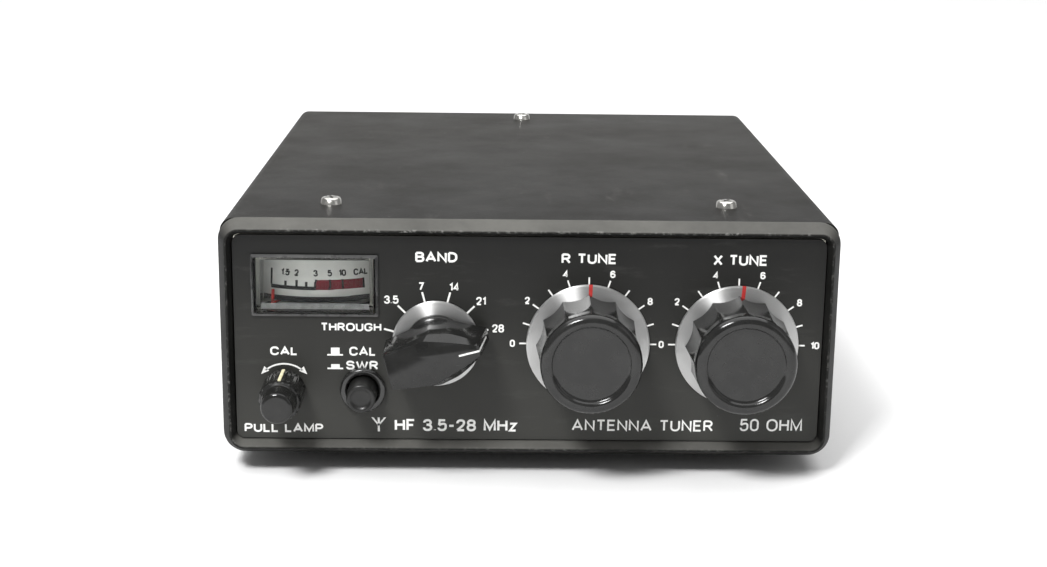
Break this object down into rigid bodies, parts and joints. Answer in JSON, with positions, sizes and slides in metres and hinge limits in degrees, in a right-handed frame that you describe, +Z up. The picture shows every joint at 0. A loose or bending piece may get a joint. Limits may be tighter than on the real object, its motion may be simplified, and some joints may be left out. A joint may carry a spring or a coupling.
{
  "type": "antenna tuner",
  "caption": "Bench antenna tuner: low metal cabinet with dark sunk panel, edgewise meter, bar knob, fluted tuning knobs on bright skirts, level knob, push button and rear sockets.",
  "frame": {"origin": "centre of the overall box in X and Y, on the surface that the feet stand on", "axes": "+Z up; the controls face -Y; +X is to the right as seen from the front"},
  "size_m": [0.165, 0.2252, 0.0715],
  "materials": {
    "bezel_plastic": "fine-textured black moulding",
    "panel_paint": "satin dark grey paint with white printing",
    "cabinet_paint": "fine wrinkle paint, warm dark grey",
    "chassis_steel": "zinc-passivated steel",
    "screw_nickel": "nickel-plated steel",
    "foot_rubber": "matt black rubber",
    "meter_clear": "clear acrylic",
    "meter_plastic": "ivory moulding",
    "scale_card": "printed card, off-white",
    "yoke_iron": "magnet iron",
    "needle_red": "matt red",
    "copper": "enamelled copper wire",
    "lamp_glass": "lamp glass",
    "knob_black": "glossy black moulding",
    "skirt_aluminium": "spun bright aluminium",
    "shaft_steel": "turned steel",
    "phenolic": "brown phenolic sheet",
    "ceramic": "glazed ceramic",
    "plate_aluminium": "stamped aluminium",
    "bush_brass": "nickelled brass",
    "switch_black": "black phenolic moulding",
    "button_black": "satin black button",
    "board_green": "green circuit board",
    "tinned_wire": "tinned copper wire",
    "socket_nickel": "nickel-plated brass",
    "ptfe": "white insulator",
    "contact_silver": "plated contact",
    "earth_brass": "bare brass"
  },
  "bodies": {
    "cabinet": {"front_bezel": "bezel_plastic", "front_panel": "panel_paint", "sub_panel": "chassis_steel", "chassis_base": "chassis_steel", "rear_panel": "cabinet_paint", "top_cover": "cabinet_paint", "bottom_cover": "cabinet_paint", "cover_screws": "screw_nickel", "chassis_screws": "screw_nickel", "rubber_feet": "foot_rubber", "meter_window": "meter_clear", "meter_case": "meter_plastic", "meter_scale": "scale_card", "meter_yoke": "yoke_iron", "meter_lamp": "lamp_glass", "band_index_housing": "chassis_steel", "band_wafers": "phenolic", "band_rods": "shaft_steel", "control_bushes": "bush_brass", "r_tune_frame": "plate_aluminium", "r_tune_stator": "plate_aluminium", "x_tune_frame": "plate_aluminium", "x_tune_stator": "plate_aluminium", "capacitor_pillars": "ceramic", "cal_control_body": "bush_brass", "lamp_switch_body": "switch_black", "swr_button_guide": "button_black", "swr_switch_body": "switch_black", "swr_board": "board_green", "coil_former": "ceramic", "coil_winding": "copper", "bus_wires": "tinned_wire", "coaxial_sockets": "socket_nickel", "socket_insulators": "ptfe", "socket_contacts": "contact_silver", "ground_stud": "earth_brass", "lamp_jack": "switch_black", "swr_button_spring": "shaft_steel"},
    "band_selector": {"band_knob": "knob_black", "band_skirt": "skirt_aluminium", "band_shaft": "shaft_steel", "band_wafer_rotors": "phenolic"},
    "r_tuner": {"r_tune_knob": "knob_black", "r_tune_skirt": "skirt_aluminium", "r_tune_shaft": "shaft_steel", "r_tune_rotor": "plate_aluminium"},
    "x_tuner": {"x_tune_knob": "knob_black", "x_tune_skirt": "skirt_aluminium", "x_tune_shaft": "shaft_steel", "x_tune_coupler": "ceramic", "x_tune_rotor": "plate_aluminium"},
    "lamp_slider": {"lamp_switch_slider": "ptfe"},
    "cal_control": {"cal_knob": "knob_black", "cal_shaft": "shaft_steel"},
    "cal_wiper": {"cal_wiper": "phenolic"},
    "push_button": {"swr_button": "button_black"},
    "meter_movement": {"meter_needle": "needle_red", "meter_coil": "copper"},
    "ground_washer": {"ground_washer": "screw_nickel"},
    "ground_nut": {"ground_nut": "earth_brass"}
  },
  "joints": [
    {"name": "band_turn", "type": "hinge", "parent": "cabinet", "child": "band_selector", "pos_m": [-0.0248, -0.09465, 0.0367], "axis": [0, 1, 0], "range_deg": [-150, 0]},
    {"name": "r_tune_turn", "type": "hinge", "parent": "cabinet", "child": "r_tuner", "pos_m": [0.01575, -0.09465, 0.0367], "axis": [0, 1, 0], "range_deg": [-91.5, 88.5]},
    {"name": "x_tune_turn", "type": "hinge", "parent": "cabinet", "child": "x_tuner", "pos_m": [0.0556, -0.09465, 0.0367], "axis": [0, 1, 0], "range_deg": [-94.5, 85.5]},
    {"name": "lamp_pull", "type": "slide", "parent": "cabinet", "child": "lamp_slider", "axis": [0, -1, 0], "range_m": [0, 0.0035]},
    {"name": "cal_turn", "type": "hinge", "parent": "lamp_slider", "child": "cal_control", "pos_m": [-0.0655, -0.09465, 0.0236], "axis": [0, 1, 0], "range_deg": [-150, 150]},
    {"name": "cal_wiper_turn", "type": "hinge", "parent": "cabinet", "child": "cal_wiper", "pos_m": [-0.0655, -0.08365, 0.0236], "axis": [0, 1, 0], "range_deg": [-150, 150]},
    {"name": "button_push", "type": "slide", "parent": "cabinet", "child": "push_button", "axis": [0, 1, 0], "range_m": [0, 0.003], "stiffness_N_per_m": 150, "springref_m": -0.002, "deforming": ["swr_button_spring"]},
    {"name": "needle_swing", "type": "hinge", "parent": "cabinet", "child": "meter_movement", "pos_m": [-0.0569, -0.06115, 0.053], "axis": [0, 0, 1], "range_deg": [0, 53], "stiffness_Nm_per_rad": 0.00002, "springref_deg": -11.46},
    {"name": "ground_washer_lift", "type": "slide", "parent": "cabinet", "child": "ground_washer", "axis": [0, 1, 0], "range_m": [0, 0.0024]},
    {"name": "ground_nut_turn", "type": "hinge", "parent": "ground_washer", "child": "ground_nut", "pos_m": [0, 0.10435, 0.022], "axis": [0, 1, 0], "range_deg": [0, 1080]}
  ],
  "couplings": [
    {"joint": "cal_wiper_turn", "follows": "cal_turn", "ratio": 1},
    {"joint": "ground_nut_turn", "follows": "ground_washer_lift", "rad_per_m": 7854}
  ]
}
